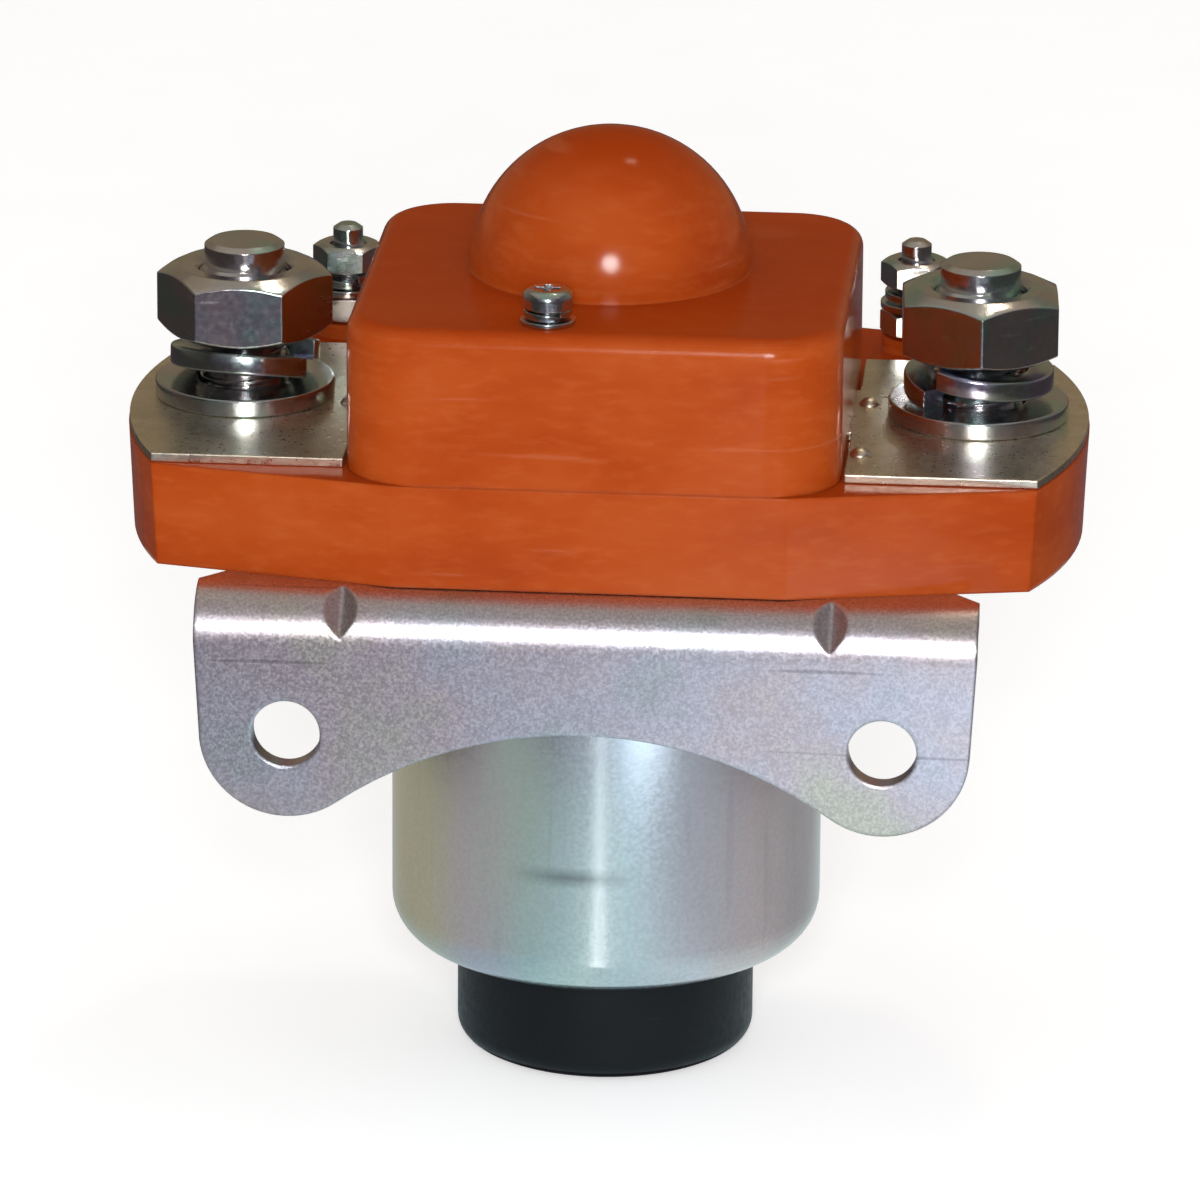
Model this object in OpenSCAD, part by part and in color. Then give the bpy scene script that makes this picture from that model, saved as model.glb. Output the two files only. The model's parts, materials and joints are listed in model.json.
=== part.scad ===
// Golf cart solenoid: a direct current contactor with a dome cover,
// two main studs, two coil studs, an angle bracket and a plunger coil.
// Origin at the middle of the bottom cap's underside, Z up, bracket towards -Y.

/* [Terminal base] */
// Distance from the main studs' axes to the base's rim
main_rim = 12.4; // [12:0.1:15]
// How much smaller the radius is at the bottom, for the mould's draft
base_draft = 0.5; // [0:0.1:1]
// Thickness of the base
base_h = 11.5; // [11:0.5:14]
// Distance of the flat rear face from the axis
base_rear = 38; // [37.6:0.1:39]
// Width of the flat middle facet in front and behind
base_facet_w = 43; // [38:1:46]
// Sweep of the four wing facets, in degrees
base_sweep = 12; // [10:1:13]

/* [Contact cover] */
// Width of the cover block
cover_w = 54; // [53:0.5:55]
// Depth of the cover block
cover_d = 53; // [51:0.5:54]
// How far the block is set forward of the axis
cover_shift = 1.6; // [1:0.1:2]
// Height of the cover block above the base
cover_h = 17.4; // [16.5:0.1:22]
// Radius of the block's upright corners
cover_corner_r = 8; // [6:0.5:9]
// Rounding of the block's top edge
cover_edge_r = 2; // [1:0.25:2.5]
// Wall thickness of the cover
cover_wall = 3; // [2.5:0.1:3.2]
// Gap between the dome and the rear cover screw's washer
dome_gap = 1.6; // [1:0.1:2]
// Sideways place of the front cover screw, left of the middle
cover_screw_x = 4.9; // [4:0.1:7]
// Distance of each cover screw from the block's nearest face
cover_screw_edge = 5.3; // [5:0.1:5.8]

/* [Cover screws] */
// Thread diameter of the cover screws
cover_screw_d = 3; // [2.5:0.1:3.2]
// Head diameter of the cover screws
cover_head_d = 5.5; // [5:0.1:6]
// Head height of the cover screws
cover_head_h = 2; // [1.6:0.1:2.4]
// Depth of the cover screw threads in the base
cover_screw_depth = 7; // [5:0.5:8]
// Outer diameter of the flat washers under them
cover_washer_d = 6; // [5.8:0.1:7]
// Thickness of the flat washers
cover_washer_t = 0.6; // [0.4:0.1:0.8]
// Outer diameter of the split washers
cover_split_d = 5.2; // [4.8:0.1:5.6]
// Free height of the split washers
cover_split_h = 1.3; // [1.1:0.1:1.6]
// Thickness of the split washers
cover_split_t = 0.8; // [0.6:0.05:0.9]

/* [Terminal plates] */
// Thickness of the plates
plate_t = 1; // [0.8:0.1:1.5]
// Step from the base's front face back to the plates
plate_step = 6.1; // [5.8:0.1:7]
// Gap between the plates and the coil studs' collars
plate_gap = 4.4; // [3.9:0.1:6]
// How far the plates stand back from the base's rim
plate_margin = 0.1; // [0.1:0.1:1]
// Width of the tongue that enters the cover
tongue_w = 16; // [12:0.5:18]
// How far the tongue reaches past its contact tip
tongue_rim = 0.5; // [0.3:0.1:2]
// Distance of the plate rivets from the cover's side
rivet_edge = 1.65; // [1.6:0.05:3]
// Distance of the near rivet from the stud line
rivet_near_y = 2.7; // [0:0.1:4]
// Distance of the far rivet from the stud line, the other way
rivet_far_y = 16; // [14:0.1:17]
// Diameter of the rivet shanks
rivet_d = 1.6; // [1.4:0.1:1.8]
// Diameter of the rivet heads
rivet_head_d = 2.4; // [2.2:0.1:2.6]
// Height of the rivet heads
rivet_head_h = 0.8; // [0.6:0.1:0.9]

/* [Main terminals] */
// Gap between the cover's side and the main flat washers
washer_gap = 3.8; // [3.4:0.1:4.2]
// Distance of the stud line behind the axis
main_y = 1.5; // [0:0.1:2.5]
// Thread diameter of the main studs
main_d = 10; // [9:0.1:10]
// Diameter of the studs' plain ends above the nuts
main_end_d = 8.9; // [8.4:0.1:9]
// Width across flats of the studs' heads
main_head_af = 16; // [15:0.5:16.5]
// Height of the studs' heads
main_head_h = 5; // [4:0.1:5.5]
// How far the stud tips stand above the nuts
main_tip_rise = 2.7; // [1:0.1:8]
// Outer diameter of the flat washers
main_washer_d = 20; // [18:0.5:21]
// Thickness of the flat washers
main_washer_t = 2; // [1.5:0.1:2.5]
// Outer diameter of the split washers
main_split_d = 16.6; // [16:0.1:17]
// Width of the split washers' section
main_split_w = 2.9; // [2.6:0.1:2.9]
// Thickness of the split washers
main_split_t = 2.3; // [2:0.1:2.4]
// Room that the split washers have under the nuts
main_split_h = 5; // [4.8:0.1:5.4]
// Rise of the split washers from end to end
main_split_rise = 1.9; // [1:0.1:2.2]
// Tilt of the loose left split washer, its front up, in degrees
left_split_tilt = 10; // [0:1:10]
// Width across flats of the main nuts
main_nut_af = 17; // [16:0.5:18]
// Height of the main nuts
main_nut_h = 8; // [7:0.5:9]
// Turn of the left nut about its stud, in degrees
left_nut_turn = 2; // [0:1:60]
// Turn of the right nut about its stud, in degrees
right_nut_turn = 34; // [0:1:60]

/* [Coil terminals] */
// Distance of the coil studs from the middle plane
coil_x = 32.4; // [32:0.1:33]
// Distance from the coil studs to the base's rear face
coil_edge = 8.3; // [8:0.1:8.5]
// Thread diameter of the coil studs
coil_d = 4; // [3.5:0.1:4]
// Diameter of the studs' plain ends above the nuts
coil_end_d = 3.4; // [3:0.1:3.4]
// Width across flats of the coil nuts and heads
coil_nut_af = 7; // [6.5:0.1:7.2]
// Height of the coil nuts
coil_nut_h = 3.2; // [2.8:0.1:3.6]
// Diameter of the collar that each coil stud stands in
collar_d = 7.6; // [7:0.1:8]
// Height of that collar above the base
collar_h = 1.7; // [1.2:0.1:3]
// Outer diameter of the coil flat washers
coil_washer_d = 8; // [7.4:0.1:8.4]
// Thickness of the coil flat washers
coil_washer_t = 0.8; // [0.5:0.1:1]
// Outer diameter of the coil split washers
coil_split_d = 7; // [6.6:0.1:7.2]
// Thickness of the coil split washers
coil_split_t = 0.9; // [0.8:0.05:1]
// Free height of the coil split washers
coil_split_h = 1.7; // [1.4:0.1:2]
// How far the coil stud tips stand above the upper nuts
coil_tip_rise = 2.2; // [1:0.1:4]

/* [Bracket] */
// Sheet thickness of the bracket
bracket_t = 2.5; // [2:0.1:3]
// Width of the bracket at its bend
bracket_w = 85; // [84:0.5:88]
// Distance of the bracket's front face from the axis
bracket_front = 32.5; // [32:0.1:34]
// Outer radius of the bend
bend_r = 5.5; // [5:0.1:6]
// Distance of the mounting holes from the bracket's sides
hole_edge = 10.05; // [9.6:0.05:11]
// Diameter of the mounting holes
hole_d = 7.5; // [6:0.1:8.5]
// Drop of the hole centres below the bracket's top
hole_drop = 15.7; // [15:0.1:18]
// Radius of the lobes around the holes
lobe_r = 9.5; // [8.5:0.1:9.5]
// Height of the arch's crown above the hole centres
arch_rise = 0.9; // [0.5:0.1:1.5]
// Distance of the pressed gussets from the bracket's sides
dart_edge = 15.9; // [15:0.1:18]
// Leg of each gusset, measured from the bend's outer corner
dart_leg = 4.8; // [4.6:0.1:5.2]
// Half angle of the gusset's V section, in degrees
dart_angle = 60; // [50:1:65]
// Sheet left outside the frame screws at the bracket's neck
neck_edge = 6.55; // [6:0.05:7]
// Distance of the bracket's rear edge from the axis
bracket_rear = 25.5; // [24.5:0.1:26]

/* [Can and cap] */
// Outer diameter of the can
can_d = 48.2; // [47.6:0.1:48.4]
// Height of the can
can_h = 46.5; // [46:0.1:55]
// Wall thickness of the can
can_wall = 1.5; // [1.2:0.1:1.6]
// Outer radius between the can's side and bottom
can_bottom_r = 5; // [4:0.5:6]
// Width of the can's lip outside the frame screws' circle
lip_edge = 4; // [3.8:0.1:5]
// Distance of the lip's cut front and rear edges from the axis
lip_y = 25.5; // [25:0.1:26]
// How far the cap stands back from the can's side
cap_step = 7.4; // [6.5:0.1:8]
// Height of the cap
cap_h = 12.4; // [11.5:0.1:14]
// Wall thickness of the cap
cap_wall = 2; // [1.5:0.1:3]
// Rounding of the cap's bottom edge
cap_edge_r = 2.5; // [1:0.1:3]
// Thread diameter of the frame screws
frame_screw_d = 4; // [3.5:0.1:4]
// Head diameter of the frame screws
frame_head_d = 6.8; // [6:0.1:7]
// Head height of the frame screws
frame_head_h = 2.4; // [2:0.1:3]
// Distance of the frame screws from the can's side
frame_screw_gap = 3.9; // [3.7:0.1:4.1]
// Angle of the frame screws from the X axis, in degrees
frame_screw_angle = 40; // [38:1:42]
// Thread depth of the frame screws in the base
frame_screw_depth = 6; // [5:0.5:7]

/* [Magnet] */
// Diameter of the plunger and of the fixed core
plunger_d = 14; // [13:0.1:14.4]
// Travel of the plunger
stroke = 3; // [2:0.1:3.5]
// Travel that is left when the bridge meets the contacts
overtravel = 1; // [0.6:0.1:1.2]
// Height of the fixed core above the can's floor
core_h = 17.1; // [16:0.1:22]
// Room over the plunger's top when it is at rest
plunger_room = 2.3; // [1:0.1:3]
// Wall thickness of the guide sleeve
sleeve_wall = 0.5; // [0.4:0.05:0.7]
// Thickness of the yoke plate
yoke_t = 4; // [3:0.1:5]
// Thickness of the bobbin's tube
bobbin_wall = 1; // [0.8:0.1:1.4]
// Thickness of the bobbin's flanges
bobbin_flange_t = 1.5; // [1:0.1:2]
// Room between the winding and the can
winding_gap = 3.7; // [3.4:0.1:5.5]
// Thread diameter of the core's lower end
core_end_d = 8; // [6:0.1:8]
// Width across flats of the core's nut
core_nut_af = 13; // [12:0.1:13]
// Height of the core's nut
core_nut_h = 5; // [4:0.1:5.5]
// How far the core's lower end stands below its nut
core_end_rise = 1.8; // [1:0.1:2]
// Diameter of the shaft
shaft_d = 4; // [3.6:0.1:4]
// Depth of the shaft's seat in the plunger
shaft_seat = 10; // [8:0.5:12]
// Outer diameter of the coil leads
lead_d = 2; // [1.6:0.1:2]
// Distance of the leads from the can's inner wall
lead_gap = 2; // [1.8:0.1:2.1]
// Angle of the leads from the X axis, in degrees
lead_angle = 65; // [63:1:68]

/* [Contacts] */
// Diameter of the contact tips
tip_d = 9; // [8:0.1:9]
// Thickness of each contact tip
tip_t = 1.2; // [1:0.1:1.5]
// Distance from the tips' rims to the bridge's ends
tip_edge = 1; // [0.5:0.1:1.2]
// Clearance between the bridge's ends and the cover's walls
bridge_gap = 1.5; // [1:0.1:2]
// Width of the contact bridge
bridge_w = 12; // [11:0.5:13]
// Thickness of the contact bridge
bridge_t = 3; // [2.5:0.1:3.2]
// Thickness of the flanges of bush, collar, seat and washer
flange_t = 1; // [0.8:0.1:1.2]
// Diameter of the flanges of bush, collar, seat and washer
flange_d = 11.4; // [11:0.1:11.6]
// Outer diameter of the bridge bush's neck
neck_d = 6.8; // [6:0.1:7.2]
// Mean diameter of the return spring
return_d = 8.8; // [8.4:0.1:9.2]
// Wire diameter of both springs
wire_d = 0.9; // [0.7:0.05:1]
// Turns of the return spring
return_turns = 5; // [4:1:5]
// Mean diameter of the contact spring
press_d = 9.4; // [9:0.1:9.8]
// Turns of the contact spring
press_turns = 5; // [4:1:6]
// Clearance between the shaft's top and the inside of the dome
dome_room = 3.2; // [2.8:0.1:4.3]

/* [Hidden] */
$fn = 96;

// Overrun of every cut beyond the face it opens
cut = 1;
// Radial gap of a thread in its nut or hole
thread_gap = 0.05;
// Radial gap of a screw in a clearance hole
hole_gap = 0.25;
// Radial running gap of plunger and shaft
run_gap = 0.05;
// Gap between pieces that lie side by side
side_gap = 0.3;
// Gap that is left between pole faces and contacts at the end of the travel
end_gap = 0.05;
// How deep the heads are sunk into the base's underside
head_sink = 0.6;
// Depth of the rivets' holes in the base
rivet_depth = 5;
// Depth of the cross recess and width of its arms
recess_depth = 1;
recess_w = 0.8;
// Floor under the return spring's well
well_floor = 2.5;
// Chamfer of stud tips
tip_chamfer = 0.5;
// How far the shaft's end stands above its nut
shaft_end = 1;
// Creepage distance between the stud heads and the bracket
head_clear = 5;
// Radius of a nut's flat face, as a share of its width across flats
crown_share = 0.43;
// Slope of a nut's chamfers, in degrees
crown_angle = 27;
// Radius of a nut's countersinks, as a share of its thread's diameter
sink_share = 0.57;
// Thickness of the leads' ring terminals
ring_t = 0.8;
// Depth below the winding's top at which a lead joins it
lead_drop = 6;

// Places and sizes in plan that follow from the cover and the can
base_front = cover_d / 2 + cover_shift;
main_x = cover_w / 2 + washer_gap + main_washer_d / 2;
base_r = main_x + main_rim;
rear_screw_y = cover_d / 2 - cover_shift - cover_screw_edge;
dome_r = norm([cover_screw_x, rear_screw_y]) - cover_washer_d / 2 - dome_gap;
coil_y = base_rear - coil_edge;
plate_front = base_front - plate_step;
plate_rear = coil_y - collar_d / 2 - plate_gap;
rivet_x = cover_w / 2 + rivet_edge;
bridge_l = cover_w - 2 * (cover_wall + bridge_gap);
tip_x = (bridge_l - tip_d) / 2 - tip_edge;
tongue_tip_x = tip_x - tip_d / 2 - tongue_rim;
can_bore_r = can_d / 2 - can_wall;
winding_r = can_bore_r - winding_gap;
lead_ring = can_bore_r - lead_gap;
frame_screw_ring = can_d / 2 + frame_screw_gap;
lip_r = frame_screw_ring + lip_edge;
cap_d = can_d - 2 * cap_step;
hole_spacing = bracket_w - 2 * hole_edge;
dart_x = bracket_w / 2 - dart_edge;
neck_w = 2 * (frame_screw_ring * cos(frame_screw_angle) + neck_edge);

// Heights, from the cap's underside up
z_can = cap_h;
z_floor = z_can + can_wall;
z_flange = z_can + can_h;
z_base = z_flange + bracket_t;
z_deck = z_base + base_h;
z_plate = z_deck + plate_t;
z_block = z_deck + cover_h;
z_main_washer = z_plate;
z_main_split = z_main_washer + main_washer_t;
z_main_nut = z_main_split + main_split_h;
z_main_tip = z_main_nut + main_nut_h + main_tip_rise;
z_main_head = z_base + head_sink;
z_coil_lower = z_deck + collar_h;
z_coil_washer = z_coil_lower + coil_nut_h;
z_coil_split = z_coil_washer + coil_washer_t;
z_coil_upper = z_coil_split + coil_split_h;
z_coil_tip = z_coil_upper + coil_nut_h + coil_tip_rise;
z_coil_head = z_base + head_sink;
z_ring = z_coil_head + coil_nut_h;
z_lead = z_ring + ring_t / 2;
z_core_top = z_floor + core_h;
z_plunger = z_core_top + stroke + end_gap;
z_plunger_top = z_base - plunger_room;
z_yoke = z_flange - yoke_t;
z_bobbin_top = z_yoke - side_gap;
z_well = z_base + well_floor;
z_fixed_tip = z_plate;
z_moving_tip = z_fixed_tip + tip_t + stroke - overtravel + end_gap;
z_bridge = z_moving_tip + tip_t;
z_bush = z_bridge - flange_t;
z_collar = z_bush - end_gap - flange_t;
z_washer = z_bridge + bridge_t + end_gap;
z_press = z_washer + flange_t;
z_shaft_top = z_block + dome_r - cover_wall - dome_room;
z_shaft_nut = z_shaft_top - shaft_end - coil_nut_h;
z_seat = z_shaft_nut - flange_t;
press_l = z_seat - z_press;
z_return = z_well + flange_t;

sleeve_r = plunger_d / 2 + run_gap + sleeve_wall;
shaft_r = shaft_d / 2;
cover_y = -cover_shift;
plate_r = base_r - plate_margin;
plate_inner_x = cover_w / 2 + side_gap;

// Points of an arc from angle a to angle b in n steps
function arc(x, y, r, a, b, n) =
  [for (i = [0:n]) let (t = a + (b - a) * i / n) [x + r * cos(t), y + r * sin(t)]];

// Both screws of the cover, the rear one being the front one turned half round
cover_screws_at = [for (s = [1, -1])
  [-s * cover_screw_x, cover_y - s * (cover_d / 2 - cover_screw_edge)]];
// Both rivets of each plate, turned half round about the stud line
rivets_at = [for (s = [1, -1], y = [rivet_near_y, -rivet_far_y]) [s * rivet_x, main_y + s * y]];
frame_screws_at = [for (s = [1, -1], t = [1, -1])
  frame_screw_ring * [s * cos(frame_screw_angle), t * sin(frame_screw_angle)]];

module at(places, z) for (p = places) translate([p[0], p[1], z]) children();
module both(x, y, z) at([[-x, y], [x, y]], z) children();

// Solid of revolution with points given as radius and height
module lathe(points) rotate_extrude() polygon(points);

module ring(outer_r, inner_r, h) difference() {
  cylinder(r = outer_r, h = h);
  translate([0, 0, -cut]) cylinder(r = inner_r, h = h + 2 * cut);
}

module hexagon(af, h) cylinder(r = af / sqrt(3), h = h, $fn = 6);

// Hexagon nut with chamfered faces and a countersunk thread
module nut(af, h, d) {
  crown = af * crown_share;
  far = af / sqrt(3) + cut;
  drop = (far - crown) * tan(crown_angle);
  bore = d / 2 + thread_gap;
  sink = d * sink_share;
  difference() {
    intersection() {
      hexagon(af, h);
      lathe([[0, 0], [crown, 0], [far, drop], [far, h - drop], [crown, h], [0, h]]);
    }
    translate([0, 0, -cut]) cylinder(r = bore, h = h + 2 * cut);
    for (s = [0, 1]) translate([0, 0, s * h]) mirror([0, 0, s])
      cylinder(r1 = sink, r2 = bore, h = sink - bore);
  }
}

// Split spring washer, wound left hand, its gap at the given angle, its ends sprung apart
// by the given rise. It rests on z = 0, and its front may be tilted up.
module split_washer(outer_d, width, t, rise, angle, tilt = 0) {
  steps = 30;
  gap = 12;
  ro = outer_d / 2;
  ri = ro - width;
  flat = [for (i = [0:steps])
    let (a = angle + gap / 2 + (360 - gap) * i / steps, s = 1 - 2 * i / steps)
    let (z = rise / 2 * (1 + pow(abs(s), 3) * sign(s)))
    for (c = [[ri, z], [ro, z], [ro, z + t], [ri, z + t]]) [c[0] * cos(a), c[0] * sin(a), c[1]]];
  turned = [for (p = flat)
    [p[0], p[1] * cos(tilt) + p[2] * sin(tilt), p[2] * cos(tilt) - p[1] * sin(tilt)]];
  low = min([for (p = turned) p[2]]);
  shift = (t + rise) / 2 * sin(tilt);
  tube([for (p = turned) p - [0, shift, low]], 4, steps);
}

// Closed tube over rings of points, with triangles only
module tube(points, sides, steps) {
  last = sides * steps;
  polyhedron(points, concat(
    [for (i = [1:sides - 2]) [0, i + 1, i]],
    [for (i = [1:sides - 2]) [last, last + i, last + i + 1]],
    [for (i = [0:steps - 1], j = [0:sides - 1])
      let (k = (j + 1) % sides, a = i * sides, b = a + sides)
      each [[a + j, a + k, b + j], [a + k, b + k, b + j]]]
  ));
}

// Points along the middle of a spring's wire
function spring_line(d, turns, l, steps) =
  [for (i = [0:turns * steps]) let (a = 360 * i / steps)
    [d / 2 * cos(a), d / 2 * sin(a), wire_d / 2 + (l - wire_d) * i / (turns * steps)]];

// Helical spring, wound right hand, that fills a length l
module spring(d, turns, l) {
  steps = 16;
  sides = 6;
  line = spring_line(d, turns, l, steps);
  gap = min([for (i = [0:len(line) - 1 - steps]) norm(line[i + steps] - line[i])]) - wire_d;
  echo(str("Least gap between the turns: ", gap));
  points = [for (i = [0:len(line) - 1], j = [0:sides - 1])
    let (a = 360 * i / steps, b = 360 * j / sides, r = d / 2 + wire_d / 2 * cos(b))
    [r * cos(a), r * sin(a), line[i][2] + wire_d / 2 * sin(b)]];
  tube(points, sides, len(line) - 1);
}

// Screw head with a rounded rim and a cross recess
module pan_head(d, h) difference() {
  lathe(concat([[0, 0], [d / 2, 0]], arc(d / 2 - h / 2, h / 2, h / 2, 0, 90, 6), [[0, h]]));
  for (a = [0, 90]) rotate(a) translate([-d / 4, -recess_w / 2, h - recess_depth])
    cube([d / 2, recess_w, recess_depth + cut]);
}

// Plan of the base: middle facets and swept wings, left to be cut by the rim
module base_plan() {
  far = base_r + cut;
  half = base_facet_w / 2;
  sweep = (far - half) * tan(base_sweep);
  polygon([
    [-far, sweep - base_front], [-half, -base_front], [half, -base_front], [far, sweep - base_front],
    [far, base_rear - sweep], [half, base_rear], [-half, base_rear], [-far, base_rear - sweep]
  ]);
}

// Groove in the base's underside, from where a lead comes up to its stud
module lead_groove() {
  p = lead_ring * [cos(lead_angle), sin(lead_angle)];
  q = [coil_x, coil_y];
  w = lead_d + 2 * side_gap;
  translate([p[0], p[1], z_base - cut]) cylinder(d = w, h = z_lead + w / 2 - z_base + cut);
  translate([p[0], p[1], z_base - cut]) rotate(atan2(q[1] - p[1], q[0] - p[0]))
    translate([0, -w / 2, 0]) cube([norm(q - p), w, z_lead + w / 2 - z_base + cut]);
}

module terminal_base() color("#b0521f") difference() {
  union() {
    intersection() {
      translate([0, 0, z_base]) cylinder(r1 = base_r - base_draft, r2 = base_r, h = base_h);
      translate([0, 0, z_base]) linear_extrude(base_h) base_plan();
    }
    both(coil_x, coil_y, z_deck - cut) cylinder(d = collar_d, h = collar_h + cut);
  }
  both(main_x, main_y, z_base - cut) {
    hexagon(main_head_af + 2 * side_gap, main_head_h + head_sink + cut);
    cylinder(d = main_d + 2 * thread_gap, h = base_h + 2 * cut);
  }
  both(coil_x, coil_y, z_base - cut) {
    cylinder(r = coil_nut_af / sqrt(3) + side_gap, h = z_ring + ring_t - z_base + cut);
    cylinder(d = coil_d + 2 * thread_gap, h = base_h + collar_h + 2 * cut);
  }
  for (s = [0, 1]) mirror([s, 0, 0]) lead_groove();
  at(rivets_at, z_deck - rivet_depth) cylinder(d = rivet_d + 2 * thread_gap, h = rivet_depth + cut);
  at(cover_screws_at, z_deck - cover_screw_depth)
    cylinder(d = cover_screw_d + 2 * thread_gap, h = cover_screw_depth + cut);
  at(frame_screws_at, z_base - cut)
    cylinder(d = frame_screw_d + 2 * thread_gap, h = frame_screw_depth + 2 * cut);
  translate([0, 0, z_well]) cylinder(d = flange_d + 2 * side_gap, h = base_h);
  translate([0, 0, z_base - cut]) cylinder(r = bush_r + thread_gap, h = base_h);
}

// Upright post at a corner of the cover, with the rounded top edge
cover_profile = concat([[0, 0], [cover_corner_r, 0]],
  arc(cover_corner_r - cover_edge_r, cover_h - cover_edge_r, cover_edge_r, 0, 90, 8), [[0, cover_h]]);

// Plain rectangle's outline with rounded corners
function rounded_plan(w, d, r) = [for (q = [0:3])
  let (sx = (q == 0 || q == 3) ? 1 : -1, sy = (q < 2) ? 1 : -1)
  each arc(sx * (w / 2 - r), sy * (d / 2 - r), r, 90 * q, 90 * q + 90, 6)];

// Block with rounded upright corners and a rounded top edge
module cover_block() {
  x = cover_w / 2 - cover_corner_r;
  y = cover_d / 2 - cover_corner_r;
  for (q = [0:3]) let (sx = (q == 0 || q == 3) ? 1 : -1, sy = (q < 2) ? 1 : -1)
    translate([sx * x, sy * y, 0]) rotate(90 * q) rotate_extrude(angle = 90) polygon(cover_profile);
  for (q = [0:3]) let (half = (q % 2 == 0) ? y : x, reach = (q % 2 == 0) ? x : y)
    rotate(90 * q) translate([reach, half, 0]) rotate([90, 0, 0])
      linear_extrude(2 * half) polygon(cover_profile);
  translate([-x, -y, 0]) cube([2 * x, 2 * y, cover_h]);
}

module contact_cover() color("#c25f26") difference() {
  union() {
    translate([0, cover_y, z_deck]) cover_block();
    translate([0, 0, z_block]) sphere(r = dome_r);
  }
  difference() {
    translate([0, cover_y, z_deck - cut]) linear_extrude(cover_h - cover_wall + cut)
      polygon(rounded_plan(cover_w - 2 * cover_wall, cover_d - 2 * cover_wall,
        cover_corner_r - cover_wall));
    at(cover_screws_at, z_deck - 2 * cut) cylinder(d = cover_washer_d, h = cover_h);
  }
  translate([0, 0, z_block]) sphere(r = dome_r - cover_wall);
  at(cover_screws_at, z_deck - cut) cylinder(r = cover_screw_d / 2 + hole_gap, h = cover_h + 2 * cut);
  translate([-cover_w / 2 - cut, main_y - tongue_w / 2 - side_gap, z_deck - cut])
    cube([cover_w + 2 * cut, tongue_w + 2 * side_gap, plate_t + end_gap + cut]);
}

z_cover_washer = z_block;
z_cover_split = z_cover_washer + cover_washer_t;
z_cover_head = z_cover_split + cover_split_h;

module cover_screws() color("#c9ccd0") at(cover_screws_at, 0) {
  translate([0, 0, z_cover_head]) pan_head(cover_head_d, cover_head_h);
  translate([0, 0, z_deck - cover_screw_depth])
    cylinder(d = cover_screw_d, h = z_cover_head - z_deck + cover_screw_depth);
}

module cover_spring_washers() color("#b8bbc0") at(cover_screws_at, z_cover_split)
  split_washer(cover_split_d, (cover_split_d - cover_screw_d) / 2 - thread_gap,
    cover_split_t, cover_split_h - cover_split_t, -60);

module cover_flat_washers() color("#c9ccd0") at(cover_screws_at, z_cover_washer)
  ring(cover_washer_d / 2, cover_screw_d / 2 + thread_gap, cover_washer_t);

// Terminal plate on the right, with its tongue into the cover
module plate_blank() difference() {
  union() {
    intersection() {
      translate([0, 0, z_deck]) cylinder(r = plate_r, h = plate_t);
      translate([plate_inner_x, -plate_front, z_deck - cut])
        cube([base_r, plate_front + plate_rear, plate_t + 2 * cut]);
    }
    translate([tongue_tip_x, main_y - tongue_w / 2, z_deck])
      cube([plate_inner_x - tongue_tip_x + cut, tongue_w, plate_t]);
  }
  translate([main_x, main_y, z_deck - cut]) cylinder(r = main_d / 2 + hole_gap, h = plate_t + 2 * cut);
}

module rivet_holes() at(rivets_at, z_deck - cut)
  cylinder(d = rivet_d + 2 * thread_gap, h = plate_t + 2 * cut);

module terminal_plate_left() color("#b9b6a6") difference() {
  mirror([1, 0, 0]) plate_blank();
  rivet_holes();
}

module terminal_plate_right() color("#b9b6a6") difference() {
  plate_blank();
  rivet_holes();
}

// Sphere radius of a rivet head of the given size
rivet_dome_r = (pow(rivet_head_d / 2, 2) + pow(rivet_head_h, 2)) / (2 * rivet_head_h);

module plate_rivets() color("#d5d6d2") at(rivets_at, 0) {
  translate([0, 0, z_plate]) lathe(concat([[0, 0]],
    arc(0, rivet_head_h - rivet_dome_r, rivet_dome_r, acos(rivet_head_d / 2 / rivet_dome_r), 90, 8)));
  translate([0, 0, z_deck - rivet_depth]) cylinder(d = rivet_d, h = rivet_depth + plate_t);
}

// Stud with a hexagon head below, a thread that ends in the top nut's countersink at
// z_nut, and a plain chamfered end above
module stud(d, end_d, af, head_h, z_head, z_nut, z_tip) {
  step = (d - end_d) / 2;
  translate([0, 0, z_head]) hexagon(af, head_h);
  translate([0, 0, z_head]) cylinder(d = d, h = z_nut - step - z_head);
  translate([0, 0, z_nut - step]) cylinder(d1 = d, d2 = end_d, h = step);
  translate([0, 0, z_nut]) cylinder(d = end_d, h = z_tip - tip_chamfer - z_nut);
  translate([0, 0, z_tip - tip_chamfer])
    cylinder(d1 = end_d, d2 = end_d - 2 * tip_chamfer, h = tip_chamfer);
}

module main_stud() stud(main_d, main_end_d, main_head_af, main_head_h, z_main_head,
  z_main_nut + main_nut_h, z_main_tip);
module main_stud_left() color("#c4c7cc") translate([-main_x, main_y, 0]) main_stud();
module main_stud_right() color("#c4c7cc") translate([main_x, main_y, 0]) main_stud();

module main_flat_washers() color("#cfd2d6") both(main_x, main_y, z_main_washer)
  ring(main_washer_d / 2, main_d / 2 + hole_gap, main_washer_t);

module main_spring_washers() color("#b5b8bd") {
  translate([-main_x, main_y, z_main_split])
    split_washer(main_split_d, main_split_w, main_split_t, main_split_rise, -22, left_split_tilt);
  translate([main_x, main_y, z_main_split])
    split_washer(main_split_d, main_split_w, main_split_t, main_split_h - main_split_t, -128);
}

module main_nuts() color("#cfd2d6") {
  translate([-main_x, main_y, z_main_nut]) rotate(left_nut_turn) nut(main_nut_af, main_nut_h, main_d);
  translate([main_x, main_y, z_main_nut]) rotate(right_nut_turn) nut(main_nut_af, main_nut_h, main_d);
}

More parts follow.
